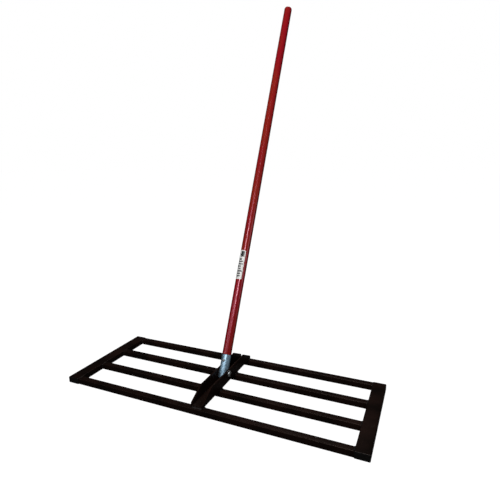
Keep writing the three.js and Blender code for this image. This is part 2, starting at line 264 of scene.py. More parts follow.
def red_lacquer():
    """Deep red lacquer that lets the growth rings and pores of straight-grained wood show."""
    s = Shader("red_lacquer", on_handle=True,
               Specular_IOR_Level=0.6, Specular_Tint=(1, 0.4, 0.55, 1),
               Coat_Weight=0.15, Coat_Roughness=0.1, Coat_IOR=1.45)
    drift = s.noise(s.place((1, 1, 0.05)), 26, detail=3)
    across = s.node("ShaderNodeSeparateXYZ")
    s.put(s.place(), across.inputs[0])
    sideways = s.math("MULTIPLY", across.outputs[0], 300)
    ring = s.math("FRACT", s.math("ADD", sideways, s.math("MULTIPLY", drift, 7)))
    band = s.math("POWER", ring, 2.2)
    fibre = s.noise(s.place((1, 1, 0.03)), 900, detail=4, roughness=0.6)
    pores = s.spread(s.noise(s.place((1, 1, 0.045)), 1500, detail=2), 0.62, 0.7)
    patch = s.noise(s.place((1, 1, 0.25)), 24, detail=3)
    early = s.mix(s.spread(patch, 0.4, 0.68), (0.32, 0.005, 0.012), (0.31, 0.026, 0.008))
    late = s.mix(s.spread(patch, 0.4, 0.68), (0.15, 0.002, 0.005), (0.12, 0.009, 0.004))
    grain = s.mix(s.math("MULTIPLY", band, 0.75), early, late)
    streaked = s.mix(s.spread(fibre, 0.42, 0.7, 0, 0.5), grain, (0.13, 0.008, 0.006))
    color = s.mix(s.math("MULTIPLY", pores, 0.55), streaked, (0.05, 0.003, 0.003))
    relief = s.math("SUBTRACT", s.math("MULTIPLY", fibre, 0.6), s.math("MULTIPLY", pores, 0.5))
    normal = s.bump(relief, 0.06 * MM)
    swell = s.noise(s.place((1, 1, 0.12)), 160, detail=3)
    coat = s.bump(swell, 0.1 * MM, normal=s.bump(relief, 0.02 * MM))
    return s.feed(Base_Color=color, Roughness=s.spread(fibre, 0.3, 0.7, 0.2, 0.3),
                  Normal=normal, Coat_Normal=coat)


# The label's print, as shares of its width and height from its lower left corner.
LABEL_BLOCK_CENTRE = (0.64, 0.875)
LABEL_BLOCK_HALF = (0.22, 0.1)
LABEL_BARS = 8
LABEL_TOP_BAR = 0.69
LABEL_BAR_PITCH = 0.083
LABEL_BAR_HALF_HEIGHT = 0.027


def label_paper():
    """White label with a plain dark block at the top and grey bars below it, no lettering."""
    s = Shader("label_paper", on_handle=True, Specular_IOR_Level=0.5)
    flat = s.node("ShaderNodeSeparateXYZ")
    s.put(s.node("ShaderNodeUVMap", uv_map="label").outputs[0], flat.inputs[0])
    u, v = flat.outputs[0], flat.outputs[1]

    def block(centre_u, centre_v, half_u, half_v):
        wide = s.math("LESS_THAN", s.math("ABSOLUTE", s.math("SUBTRACT", u, centre_u)), half_u)
        tall = s.math("LESS_THAN", s.math("ABSOLUTE", s.math("SUBTRACT", v, centre_v)), half_v)
        return s.math("MULTIPLY", wide, tall)

    fibre = s.noise(s.place(), 700, detail=4)
    color = s.mix(s.spread(fibre, 0.3, 0.7), (0.86, 0.86, 0.83), (0.76, 0.76, 0.74))
    color = s.mix(block(*LABEL_BLOCK_CENTRE, *LABEL_BLOCK_HALF), color, (0.003, 0.005, 0.004))
    for row in range(LABEL_BARS):
        centre = 0.5 + 0.07 * (row % 3 - 1)
        half_width = 0.22 + 0.04 * (row * 3 % 4)
        height = LABEL_TOP_BAR - LABEL_BAR_PITCH * row
        bar = block(centre, height, half_width, LABEL_BAR_HALF_HEIGHT)
        color = s.mix(s.math("MULTIPLY", bar, 0.85), color, (0.035, 0.035, 0.04))
    return s.feed(Base_Color=color, Roughness=s.spread(fibre, 0.3, 0.7, 0.32, 0.45),
                  Normal=s.bump(fibre, 0.012 * MM))


PAINT = black_paint()
WELD = weld_paint()
PLASTIC = black_plastic()
ZINC = zinc_plate("zinc_plate", (0.7, 0.74, 0.78), (0.78, 0.77, 0.72))
SCREW_ZINC = zinc_plate("screw_zinc_plate", (0.3, 0.34, 0.38), (0.38, 0.38, 0.36))
GALVANISED = galvanised_steel()
NYLON = nylon()
LACQUER = red_lacquer()
PAPER = label_paper()


# Mesh building

def soften(mesh, crease=CREASE):
    """Smooth shading, with sharp edges where the surface turns by more than crease degrees."""
    work = bmesh.new()
    work.from_mesh(mesh)
    bmesh.ops.recalc_face_normals(work, faces=work.faces)
    for edge in work.edges:
        edge.smooth = edge.calc_face_angle(0) < math.radians(crease)
    for face in work.faces:
        face.smooth = True
    work.to_mesh(mesh)
    work.free()


def add_piece(name, shape, material, space=Matrix.Identity(4), crease=CREASE):
    points, faces = shape
    mesh = bpy.data.meshes.new(name)
    mesh.from_pydata(points, [], faces)
    mesh.materials.append(material)
    soften(mesh, crease)
    made = bpy.data.objects.new(name, mesh)
    bpy.context.scene.collection.objects.link(made)
    made.matrix_world = space
    return made


def settle(made, body, slot, *nodes):
    """A piece's place goes into its mesh; it rides on its body and stands for its CAD nodes."""
    made.data.transform(made.matrix_world)
    made.matrix_world = Matrix.Identity(4)
    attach(made, body)
    if nodes:
        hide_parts(*nodes)


def loft(rings, closed=False):
    """Quads between rings of equal length, capped, or joined last to first when closed."""
    size = len(rings[0])
    points = [point for ring in rings for point in ring]
    faces = []
    for index in range(len(rings) - (0 if closed else 1)):
        near = index * size
        far = (index + 1) % len(rings) * size
        for i in range(size):
            j = (i + 1) % size
            faces.append((near + i, near + j, far + j, far + i))
    if not closed:
        faces.append(tuple(reversed(range(size))))
        faces.append(tuple(range(len(points) - size, len(points))))
    return points, faces


def joined(shapes):
    points, faces = [], []
    for some_points, some_faces in shapes:
        start = len(points)
        points += some_points
        faces += [tuple(start + i for i in face) for face in some_faces]
    return points, faces


def circle(radius, z, sides=ROUND_SIDES):
    angles = [2 * math.pi * i / sides for i in range(sides)]
    return [(radius * math.cos(a), radius * math.sin(a), z) for a in angles]


def turned(profile, closed=False, sides=ROUND_SIDES):
    """A solid of revolution about Z from (radius, z) points."""
    return loft([circle(radius, z, sides) for radius, z in profile], closed)


def quarter(centre_r, centre_z, radius, start, steps=4):
    """Points of a quarter circle in the (radius, z) plane, from start degrees onwards."""
    angles = [math.radians(start + 90 * i / steps) for i in range(steps + 1)]
    return [(centre_r + radius * math.cos(a), centre_z + radius * math.sin(a)) for a in angles]


def rounded_rectangle(width, height, radius, z):
    points = []
    for corner, (side_x, side_y) in enumerate(((1, 1), (-1, 1), (-1, -1), (1, -1))):
        for step in range(CORNER_STEPS + 1):
            angle = (corner + step / CORNER_STEPS) * math.pi / 2
            x = side_x * (width / 2 - radius) + radius * math.cos(angle)
            y = side_y * (height / 2 - radius) + radius * math.sin(angle)
            points.append((x, y, z))
    return points


def cut(made, *cutters):
    """Takes the cutters' shapes out of a piece for good."""
    for cutter in cutters:
        modifier = made.modifiers.new("cut", "BOOLEAN")
        modifier.operation = "DIFFERENCE"
        modifier.solver = "EXACT"
        modifier.object = cutter
    graph = bpy.context.evaluated_depsgraph_get()
    made.data = bpy.data.meshes.new_from_object(made.evaluated_get(graph))
    made.modifiers.clear()
    soften(made.data)
    for cutter in cutters:
        bpy.data.objects.remove(cutter)


def drill(diameter, low, high, space):
    """A round cutter along the space's Z axis."""
    return add_piece("drill", turned([(diameter / 2, low), (diameter / 2, high)]), PAINT, space)


def slotter(width, height, low, high, space):
    """A rectangular cutter along the space's Z axis."""
    x, y = width / 2, height / 2
    rings = [[(-x, -y, z), (x, -y, z), (x, y, z), (-x, y, z)] for z in (low, high)]
    return add_piece("slotter", loft(rings), PAINT, space)


# Head: square bars and end tubes

def tube_shape(width, height, length):
    """A hollow tube along Z, its cut ends with their edges just broken."""
    def ring(inset, z):
        return rounded_rectangle(width - 2 * inset, height - 2 * inset, TUBE_CORNER - inset, z)

    half = length / 2
    body = half - CUT_EDGE
    inner = TUBE_WALL - CUT_EDGE
    rings = [ring(CUT_EDGE, -half), ring(0, -body), ring(0, body), ring(CUT_EDGE, half)]
    rings += [ring(inner, half), ring(TUBE_WALL, body), ring(TUBE_WALL, -body), ring(inner, -half)]
    return loft(rings, closed=True)


def make_tube(node, along, stretch=0.0):
    low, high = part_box(node)
    size = high - low
    turn = Matrix.Rotation(math.pi / 2, 4, "Y" if along == "X" else "X")
    space = Matrix.Translation((low + high) / 2) @ turn
    length, width = (size.x, size.z) if along == "X" else (size.y, size.x)
    height = size.y if along == "X" else size.z
    shape = tube_shape(width, height, length + 2 * stretch)
    settle(add_piece(node + "_tube", shape, PAINT, space), "head", "black_paint", node)


BARS = ("front_bar", "front_middle_bar", "rear_middle_bar", "rear_bar")
# Each side of the head, with its direction along X.
SIDES = {"left": -1, "right": 1}
# Each bar end closes most of the gap that the CAD leaves at the weld.
BAR_STRETCH = 0.2 * MM

for bar in BARS:
    make_tube(bar, "X", BAR_STRETCH)
for side in SIDES:
    make_tube(side + "_end_tube", "Y")


# Plugs in the end tubes. The core and the fins are inset from the outside of the tube.

PLUG_EDGE = 0.8 * MM
PLUG_EDGE_STEPS = 6
PLUG_LEAST_CORNER = 0.6 * MM
PLUG_CROWN = 0.25 * MM
PLUG_SEAT = 0.03 * MM
PLUG_CORE = TUBE_WALL + 0.9 * MM
PLUG_CORE_WALL = 1.5 * MM
PLUG_CUP_FLOOR = 0.5 * MM
PLUG_CUP_EDGE = 0.4 * MM
PLUG_FINS = 3
PLUG_FIN_PITCH = 3.8 * MM
PLUG_FIN_EDGE = TUBE_WALL + 0.1 * MM
PLUG_FIN_THICKNESS = 0.4 * MM
PLUG_FIN_RISE = 0.6 * MM
PLUG_FIN_FALL = 1.2 * MM


def plug_shape(width, height, flange, reach):
    """A crowned flange, a cup behind it and flexible fins round the cup. Outside is +Z."""
    def ring(inset, z):
        radius = max(TUBE_CORNER - inset, PLUG_LEAST_CORNER)
        return rounded_rectangle(width - 2 * inset, height - 2 * inset, radius, z)

    shoulder = flange - PLUG_CROWN
    rings = [ring(6 * MM, flange), ring(4 * MM, flange - 0.1 * PLUG_CROWN)]
    rings += [ring(2.4 * MM, flange - 0.4 * PLUG_CROWN)]
    for step in range(PLUG_EDGE_STEPS + 1):
        angle = step / PLUG_EDGE_STEPS * math.pi / 2
        inset = PLUG_EDGE * (1 - math.sin(angle))
        rings.append(ring(inset, shoulder - PLUG_EDGE * (1 - math.cos(angle))))
    rings += [ring(0, 0.2 * MM), ring(0.2 * MM, 0), ring(PLUG_CORE, 0)]
    for fin in range(PLUG_FINS):
        z = -PLUG_FIN_PITCH * (fin + 0.75)
        rings += [ring(PLUG_CORE, z + PLUG_FIN_RISE), ring(PLUG_FIN_EDGE, z)]
        rings += [ring(PLUG_FIN_EDGE, z - PLUG_FIN_THICKNESS), ring(PLUG_CORE, z - PLUG_FIN_FALL)]
    rings += [ring(PLUG_CORE, PLUG_CUP_EDGE - reach), ring(PLUG_CORE + PLUG_CUP_EDGE, -reach)]
    cup = PLUG_CORE + PLUG_CORE_WALL
    rings += [ring(cup, -reach), ring(cup, -PLUG_CUP_FLOOR)]
    return loft(rings)


def make_plug(side, end, facing):
    """A plug in the front end (facing -1) or rear end (facing 1) of an end tube."""
    tube_low, tube_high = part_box(side + "_end_tube")
    tube_size = tube_high - tube_low
    node = f"{side}_{end}_plug"
    low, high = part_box(node)
    middle = (low + high) / 2
    seat = (tube_low.y if facing < 0 else tube_high.y) + facing * PLUG_SEAT
    face = low.y if facing < 0 else high.y
    tip = high.y if facing < 0 else low.y
    outwards = Matrix.Rotation(-facing * math.pi / 2, 4, "X")
    space = Matrix.Translation((middle.x, seat, middle.z)) @ outwards
    shape = plug_shape(tube_size.x, tube_size.z, abs(face - seat), abs(tip - seat))
    settle(add_piece(node + "_moulding", shape, PLASTIC, space), "head", "black_plastic", node)


for side in SIDES:
    make_plug(side, "front", -1)
    make_plug(side, "rear", 1)


# Pivot channel

channel_low, channel_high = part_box("pivot_channel")
channel_size = channel_high - channel_low


def channel_section(height, inset):
    """The bent U in the XZ plane, shrunk by an inset to round off its cut ends."""
    half = channel_size.x / 2 - inset
    inner = channel_size.x / 2 - CHANNEL_WALL + inset
    bend = CHANNEL_BEND - inset
    tight = CHANNEL_INNER_BEND + inset
    edge = max(CHANNEL_EDGE - inset, 0.05 * MM)
    top = height - inset
    floor = CHANNEL_WALL - inset
    right = [(0, inset), *quarter(half - bend, bend + inset, bend, 270, 8)]
    right += quarter(half - edge, top - edge, edge, 0, 3)
    right += quarter(inner + edge, top - edge, edge, 90, 3)
    right += list(reversed(quarter(inner - tight, floor + tight, tight, 270, 4)))
    right.append((0, floor))
    left = [(-x, z) for x, z in reversed(right[1:-1])]
    return right + left


def channel_height(y):
    """Full height in the middle, sloping down to the ends, with the kink slightly eased."""
    slope = (channel_size.z - CHANNEL_END_HEIGHT) / CHANNEL_SLOPE
    past = abs(y) - (channel_size.y / 2 - CHANNEL_SLOPE)
    if past < -CHANNEL_KINK / 2:
        return channel_size.z
    if past > CHANNEL_KINK / 2:
        return channel_size.z - slope * past
    return channel_size.z - slope * (past + CHANNEL_KINK / 2) ** 2 / (2 * CHANNEL_KINK)


def channel_shape():
    half = channel_size.y / 2
    kink = half - CHANNEL_SLOPE
    stations = []
    for step in range(5):
        angle = step / 4 * math.pi / 2
        from_end = CHANNEL_EDGE * (1 - math.cos(angle))
        inset = CHANNEL_EDGE * (1 - math.sin(angle))
        stations.append((from_end - half, inset))
    stations += [(-kink + CHANNEL_KINK * (step / 6 - 0.5), 0) for step in range(7)]
    stations += [(-y, inset) for y, inset in reversed(stations)]
    rings = []
    for y, inset in stations:
        section = channel_section(channel_height(y), inset)
        rings.append([(x, y, z) for x, z in section])
    return loft(rings)


along_x = Matrix.Rotation(math.pi / 2, 4, "Y")
channel_foot = Vector((0, (channel_low.y + channel_high.y) / 2, channel_low.z))
channel = add_piece("channel_bent_plate", channel_shape(), PAINT, Matrix.Translation(channel_foot))
bolt_space = Matrix.Translation(pivot) @ along_x
round_hole = drill(BOLT_HOLE, -BOLT_HOLE_REACH, 0, bolt_space)
square_hole = slotter(BOLT_HOLE, BOLT_HOLE, 0, BOLT_HOLE_REACH, bolt_space)
cut(channel, round_hole, square_hole)
settle(channel, "head", "black_paint", "pivot_channel")


# Weld beads

RIPPLE_PITCH = 1.7 * MM
RIPPLE_HEIGHT = 0.16 * MM
RIPPLE_BOW = 0.55
BEAD_STEP = 0.42 * MM
BEAD_ARC_STEPS = 10
BEAD_ROOT = 0.3 * MM
BEAD_RUN_OUT = 1.8 * MM
BEAD_TIP_SHARE = 0.06
BEAD_UNEVENNESS = 0.13

TOP_BEAD_END = 1.4 * MM
TOP_BEAD_SINK = 0.15 * MM
TOP_BEAD_ON_BAR = 1.9 * MM
TOP_BEAD_ON_TUBE = 2.9 * MM
TOP_BEAD_CROWN = 0.55 * MM
SIDE_BEAD_LEG = 3.2 * MM
SIDE_BEAD_FOOT = 1.2 * MM
SIDE_BEAD_HEAD = 0.8 * MM
CHANNEL_SIDE_BEAD_LEG = 4.2 * MM
CHANNEL_END_BEAD_LEG = 3.8 * MM
CHANNEL_END_BEAD_MARGIN = 3 * MM
CHANNEL_BEAD_SINK = 0.35 * MM
CORNER_SINK = 0.1 * MM

UP = Vector((0, 0, 1))


def bead_shape(start, end, foot_a, foot_b, out, crown):
    """A rippled bead along a straight joint. Its feet are offsets from the joint to its toes."""
    along = end - start
    count = max(8, round(along.length / BEAD_STEP))
    rings = []
    for step in range(count + 1):
        share = step / count
        path = start + along * share
        to_end = min(share, 1 - share) * along.length
        size = math.sin(min(1, BEAD_TIP_SHARE + to_end / BEAD_RUN_OUT) * math.pi / 2)
        size *= 1 + BEAD_UNEVENNESS * noise.noise(path * 210)
        ring = [path - BEAD_ROOT * out]
        for i in range(BEAD_ARC_STEPS + 1):
            across = i / BEAD_ARC_STEPS
            hump = 4 * across * (1 - across)
            phase = (share * along.length / RIPPLE_PITCH + RIPPLE_BOW * hump) % 1
            lift = crown * hump + RIPPLE_HEIGHT * (1 - phase) * math.sqrt(hump)
            toe = foot_a.lerp(foot_b, across)
            ring.append(path + size * (toe + lift * out))
        rings.append(ring)
    return loft(rings)


def fillet(start, end, side_a, side_b, leg):
    """A bead in the corner between two faces, which run along side_a and side_b."""
    out = (side_a + side_b).normalized()
    return bead_shape(start, end, side_a * leg, side_b * leg, out, 0.14 * leg)


def bar_end_welds(side):
    """Beads that join the bars to one end tube: over the top, and down the free sides."""
    facing = SIDES[side]
    tube_low, tube_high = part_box(side + "_end_tube")
    outwards = Vector((facing, 0, 0))
    beads = []
    for bar in BARS:
        low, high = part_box(bar)
        joint_x = high.x if facing > 0 else low.x
        top = Vector((joint_x, 0, high.z - TOP_BEAD_SINK))
        start = top + Vector((0, low.y + TOP_BEAD_END, 0))
        end = top + Vector((0, high.y - TOP_BEAD_END, 0))
        on_bar = -TOP_BEAD_ON_BAR * outwards
        on_tube = TOP_BEAD_ON_TUBE * outwards
        beads.append(bead_shape(start, end, on_bar, on_tube, UP, TOP_BEAD_CROWN))
        for y, out_y in ((low.y, -1), (high.y, 1)):
            flush = min(abs(y - tube_low.y), abs(y - tube_high.y)) < 1 * MM
            if flush:
                continue
            out = Vector((0, out_y, 0))
            corner = Vector((joint_x + CORNER_SINK * facing, y - CORNER_SINK * out_y, 0))
            foot = corner + (low.z + SIDE_BEAD_FOOT) * UP
            head = corner + (high.z - SIDE_BEAD_HEAD) * UP
            beads.append(fillet(foot, head, -outwards, out, SIDE_BEAD_LEG))
    return joined(beads)


def channel_welds():
    """Beads along both sides of the channel on every bar, and across its two ends."""
    beads = []
    for bar in BARS:
        low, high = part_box(bar)
        first = max(low.y + 1.5 * MM, channel_low.y + 1 * MM)
        last = min(high.y - 1.5 * MM, channel_high.y - 1 * MM)
        for facing in (-1, 1):
            x = facing * (channel_size.x / 2 - CHANNEL_BEAD_SINK)
            start = Vector((x, first, high.z - CORNER_SINK))
            end = Vector((x, last, high.z - CORNER_SINK))
            beads.append(fillet(start, end, Vector((facing, 0, 0)), UP, CHANNEL_SIDE_BEAD_LEG))
    across = Vector((channel_size.x / 2 - CHANNEL_END_BEAD_MARGIN, 0, 0))
    for y, facing in ((channel_low.y, -1), (channel_high.y, 1)):
        root = Vector((0, y - CHANNEL_BEAD_SINK * facing, high.z - CORNER_SINK))
        out = Vector((0, facing, 0))
        beads.append(fillet(root - across, root + across, out, UP, CHANNEL_END_BEAD_LEG))
    return joined(beads)


for name, shape in (
    ("left_bar_welds", bar_end_welds("left")),
    ("right_bar_welds", bar_end_welds("right")),
    ("channel_welds", channel_welds()),
):
    settle(add_piece(name, shape, WELD, crease=SOFT_CREASE), "head", "black_paint")


# Pivot hardware, along Z with the clamped face at Z = 0

def shaped_ring(z_of_angle, radius_of_angle):
    ring = []
    for i in range(HEX_SIDES):
        angle = 2 * math.pi * i / HEX_SIDES
        radius = radius_of_angle(angle)
        ring.append((radius * math.cos(angle), radius * math.sin(angle), z_of_angle(angle)))
    return ring


def round_ring(radius, z):
    return circle(radius, z, HEX_SIDES)


def hexagon(angle):
    """Distance from the axis to the side of the hexagon, its corners slightly blunted."""
    from_flat = min(abs(math.degrees(angle) % 60 - 30), 28)
    return NUT_ACROSS_FLATS / 2 / math.cos(math.radians(from_flat))


def hex_rings(high):
    """The nut's six sides from Z = 0 to high, chamfered to a circle at both ends."""
    flat = 0.97 * NUT_ACROSS_FLATS / 2
    slope = math.tan(math.radians(30))

    def drop(angle):
        return (hexagon(angle) - flat) * slope

    return [
        round_ring(flat, 0),
        shaped_ring(drop, hexagon),
        shaped_ring(lambda angle: high - drop(angle), hexagon),
        round_ring(flat, high),
    ]


def thread_rings(radius, pitch, low, high, fade_low, fade_high):
    """Rings of a helical thread from low to high, fading out towards either end."""
    depth = 0.56 * pitch
    count = round((high - low) / (pitch / 8))
    rings = []
    for step in range(count + 1):
        z = low + (high - low) * step / count
        fade = min(1, (z - low) / fade_low, (high - z) / fade_high)
        ring = []
        for i in range(HEX_SIDES):
            turn = i / HEX_SIDES
            saw = abs(2 * ((z / pitch - turn) % 1) - 1)
            groove = min(1, max(0, (saw - 0.14) / 0.72))
            angle = 2 * math.pi * turn
            r = radius - depth * groove * max(0, fade)
            ring.append((r * math.cos(angle), r * math.sin(angle), z))
        rings.append(ring)
    return rings


def hardware_space(seat, facing):
    """Z out of the channel's side, with Z = 0 on the face that the piece rests on."""
    outwards = Matrix.Rotation(facing * math.pi / 2, 4, "Y")
    return Matrix.Translation((seat, pivot.y, pivot.z)) @ outwards


def square(angle):
    """Distance from the axis to the side of the square neck, its corners slightly blunted."""
    side = BOLT_DIAMETER / 2 / max(abs(math.cos(angle)), abs(math.sin(angle)))
    return min(side, 0.67 * BOLT_DIAMETER)


def bolt_shape(head, top, tip):
    """A carriage bolt: a dome above Z = 0, a square neck, a plain shank and a cut thread."""
    radius = BOLT_DIAMETER / 2
    rings = [round_ring(radius - 1.3 * MM, tip), round_ring(radius - 1.1 * MM, tip + 0.1 * MM)]
    first, last = tip + 0.9 * MM, tip + BOLT_THREAD_LENGTH
    rings += thread_rings(radius, BOLT_PITCH, first, last, 0.7 * MM, 2 * MM)
    rings += [round_ring(radius, -BOLT_NECK_LENGTH - 0.8 * MM)]
    rings += [shaped_ring(lambda angle: z, square) for z in (-BOLT_NECK_LENGTH, -0.2 * MM)]
    rings += [round_ring(head - 0.2 * MM, 0), round_ring(head, 0.2 * MM)]
    rings.append(round_ring(head, BOLT_HEAD_RIM))
    for step in range(1, BOLT_DOME_STEPS):
        angle = step / BOLT_DOME_STEPS * math.pi / 2
        rise = (top - BOLT_HEAD_RIM) * math.sin(angle)
        rings.append(round_ring(head * math.cos(angle), BOLT_HEAD_RIM + rise))
    return loft(rings)


def washer_shape(inner, outer, thickness):
    """A stamped washer: rolled over on its outer side, sharp-edged on the other."""
    roll = 0.45 * MM
    profile = [(inner, 0.1 * MM), (inner + 0.1 * MM, 0), (outer - 0.1 * MM, 0), (outer, 0.1 * MM)]
    profile += quarter(outer - roll, thickness - roll, roll, 0)
    profile += quarter(inner + roll, thickness - roll, roll, 90)
    return turned(profile, closed=True)


def nut_shape(hex_height, top, collar, bore, recess, ledge):
    """A hex nut with a crimped collar that holds the insert in a recess."""
    chamfer = 0.4 * MM
    crimp = 1.1 * MM
    lip = 0.5 * MM
    lip_low = top - 0.25 * MM
    rings = [round_ring(bore + chamfer, 0), *hex_rings(hex_height), round_ring(collar, hex_height)]
    rings += [round_ring(r, z) for r, z in quarter(collar - crimp, top - crimp, crimp, 0, 6)]
    rings += [round_ring(recess - lip, top), round_ring(recess - lip, lip_low)]
    rings += [round_ring(recess, lip_low - 0.1 * MM), round_ring(recess, ledge)]
    rings += [round_ring(bore, ledge), round_ring(bore, chamfer)]
    return loft(rings, closed=True)


def insert_shape(bore, outer, low, high):
    """The nylon ring, with both upper edges rolled over."""
    roll_z = high - INSERT_ROLL
    profile = [(bore, low), (outer, low)]
    profile += quarter(outer - INSERT_ROLL, roll_z, INSERT_ROLL, 0)
    profile += quarter(bore + INSERT_ROLL, roll_z, INSERT_ROLL, 90)
    return turned(profile, closed=True)


def make_bolt():
    space = hardware_space(channel_high.x + BOLT_SEAT, 1)
    low, high = extent("pivot_bolt", space)
    bolt = add_piece("carriage_bolt", bolt_shape(high.x, high.z, low.z), ZINC, space)
    settle(bolt, "head", "zinc_plate", "pivot_bolt")


def make_washer():
    space = hardware_space(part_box("nut_washer")[1].x, -1)
    high = extent("nut_washer", space)[1]
    shape = washer_shape(BOLT_DIAMETER / 2 + WASHER_CLEARANCE, high.x, high.z)
    settle(add_piece("stamped_washer", shape, ZINC, space), "head", "zinc_plate", "nut_washer")


def make_nut_and_insert():
    space = hardware_space(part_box("lock_nut")[1].x, -1)
    top = extent("lock_nut", space)[1].z
    low, high = extent("nut_insert", space)
    recess = high.x + 0.05 * MM
    ledge = low.z - 0.1 * MM
    shape = nut_shape(NUT_HEX_HEIGHT, top, NUT_COLLAR_RADIUS, NUT_BORE_RADIUS, recess, ledge)
    settle(add_piece("nylon_lock_nut", shape, ZINC, space), "head", "zinc_plate", "lock_nut")
    shape = insert_shape(INSERT_BORE_RADIUS, high.x, low.z, high.z)
    settle(add_piece("nylon_ring", shape, NYLON, space), "head", "nylon", "nut_insert")


make_bolt()
make_washer()
make_nut_and_insert()


# Ferrule and its screws

ferrule_low, ferrule_high = extent("ferrule", handle_space)
wood_low, wood_high = extent("wood_handle", handle_space)
ferrule_radius = ferrule_high.x


def ferrule_shape():
    """A sawn tube: edges broken at both ends, the upper one rolled slightly in."""
    outer, inner = ferrule_radius, ferrule_radius - FERRULE_WALL
    soft, crisp = 0.9 * MM, 0.35 * MM
    low, high = ferrule_low.z, ferrule_high.z
    profile = quarter(outer - crisp, low + crisp, crisp, 270)
    profile += quarter(outer - soft, high - soft, soft, 0, 6)
    profile += quarter(inner + crisp, high - crisp, crisp, 90)
    profile += quarter(inner + crisp, low + crisp, crisp, 180)
    return turned(profile, closed=True, sides=FERRULE_SIDES)


def screw_space(node):
    """Z out of the ferrule along the screw, with Z = 0 where the head seats."""
    low, high = extent(node, handle_space)
    middle = (low + high) / 2
    facing = 1 if middle.y > 0 else -1
    seat = Matrix.Translation((0, facing * ferrule_radius, middle.z))
    return handle_space @ seat @ Matrix.Rotation(-facing * math.pi / 2, 4, "X")


# Each screw with the angle in degrees at which its slot stopped.
SCREWS = {"front_ferrule_screw": 25, "rear_ferrule_screw": 95}
SCREW_HOLE = 4.7 * MM
SCREW_DEPTH = 12.5 * MM
SCREW_CORE_RADIUS = 1.35 * MM
SCREW_THREAD_DEPTH = 0.72 * MM
SCREW_PITCH = 1.6 * MM
SCREW_SHANK_STEPS = 60
SCREW_HEAD_RADIUS = 4 * MM
SCREW_SLOT_WIDTH = 1 * MM
SCREW_SLOT_DEPTH = 1.1 * MM


def screw_drill(node):
    return drill(SCREW_HOLE, -SCREW_DEPTH - 0.5 * MM, 6 * MM, screw_space(node))


def screw_shape(head, height):
    """A pan head on a coarse wood thread that runs out to a point."""
    tip = -SCREW_DEPTH
    rings = []
    for step in range(SCREW_SHANK_STEPS + 1):
        z = tip + (0.15 * MM - tip) * step / SCREW_SHANK_STEPS
        taper = min(1, (z - tip + 0.3 * MM) / (4 * MM))
        ring = []
        for i in range(ROUND_SIDES):
            turn = i / ROUND_SIDES
            crest = max(0, 1 - 3.2 * abs((z / SCREW_PITCH - turn) % 1 - 0.5))
            fade = min(1, -z / (1.5 * MM)) if z < 0 else 0
            r = taper * (SCREW_CORE_RADIUS + SCREW_THREAD_DEPTH * crest * fade)
            angle = 2 * math.pi * turn
            ring.append((r * math.cos(angle), r * math.sin(angle), z))
        rings.append(ring)
    profile = [(head - 0.1 * MM, 0.02 * MM), (head, 0.12 * MM), (head, 0.4 * height)]
    profile += [(head * math.cos(a), height * (0.4 + 0.6 * math.sin(a)))
                for a in (math.radians(10 * step) for step in range(1, 9))]
    rings += [circle(radius, z) for radius, z in profile]
    return loft(rings)


def make_screw(node, slot_angle):
    top = extent(node, screw_space(node))[1].z
    space = screw_space(node) @ Matrix.Rotation(math.radians(slot_angle), 4, "Z")
    screw = add_piece(node + "_pan_head", screw_shape(SCREW_HEAD_RADIUS, top), SCREW_ZINC, space)
    slot_length = 2.5 * SCREW_HEAD_RADIUS
    cut(screw, slotter(slot_length, SCREW_SLOT_WIDTH, top - SCREW_SLOT_DEPTH, top + 2 * MM, space))
    settle(screw, "handle", "zinc_plate", node)


ferrule = add_piece("galvanised_ferrule", ferrule_shape(), GALVANISED, handle_space)
bolt_hole = drill(BOLT_HOLE, -BOLT_HOLE_REACH, BOLT_HOLE_REACH, handle_space @ along_x)
cut(ferrule, bolt_hole, *(screw_drill(node) for node in SCREWS))
settle(ferrule, "handle", "galvanised_steel", "ferrule")

for node, slot_angle in SCREWS.items():
    make_screw(node, slot_angle)


# Wooden handle

WOOD_LOWER_DIAMETER = 28.1 * MM
WOOD_UPPER_DIAMETER = 27.3 * MM
WOOD_RING_STEP = 4 * MM
WOOD_EDGE = 0.8 * MM
GRAIN_RELIEF = 0.09 * MM
DOME = 9 * MM
DOME_STEPS = 14
# The visible dome is rounder than the faceted CAD, so it is trimmed to stay inside it.
DOME_TRIM = 0.06 * MM


def wood_radius(z):
    """The handle tapers evenly from the top of the ferrule to its own top."""
    share = (z - ferrule_high.z) / (wood_high.z - ferrule_high.z)
    return (WOOD_LOWER_DIAMETER + (WOOD_UPPER_DIAMETER - WOOD_LOWER_DIAMETER) * share) / 2


def grain_depth(x, y, z):
    """How far the surface sinks between the harder growth rings, from 0 to 1."""
    ridge = noise.noise(Vector((x * 420, y * 420, z * 9)))
    wave = noise.noise(Vector((x * 60, y * 60, z * 14 + 7)))
    return min(1, max(0, 0.45 + 0.6 * ridge + 0.35 * wave))


def wood_profile(shoulder):
    """Points of the tenon in the ferrule, the shoulder above it, the shaft and the dome."""
    tenon = ferrule_radius - FERRULE_WALL - 0.1 * MM
    profile = [(tenon - WOOD_EDGE, wood_low.z), (tenon, wood_low.z + WOOD_EDGE), (tenon, shoulder)]
    inner = wood_radius(shoulder) - WOOD_EDGE
    profile += [(inner, shoulder), *quarter(inner, shoulder + WOOD_EDGE, WOOD_EDGE, 270)]
    base = wood_high.z - DOME
    start = shoulder + 2 * MM
    count = round((base - start) / WOOD_RING_STEP)
    shaft = [start + (base - start) * step / count for step in range(count + 1)]
    profile += [(wood_radius(z), z) for z in shaft]
    for step in range(1, DOME_STEPS):
        angle = step / DOME_STEPS * math.pi / 2
        around = (wood_radius(base) - DOME_TRIM) * math.cos(angle)
        profile.append((around, base + DOME * math.sin(angle)))
    return profile


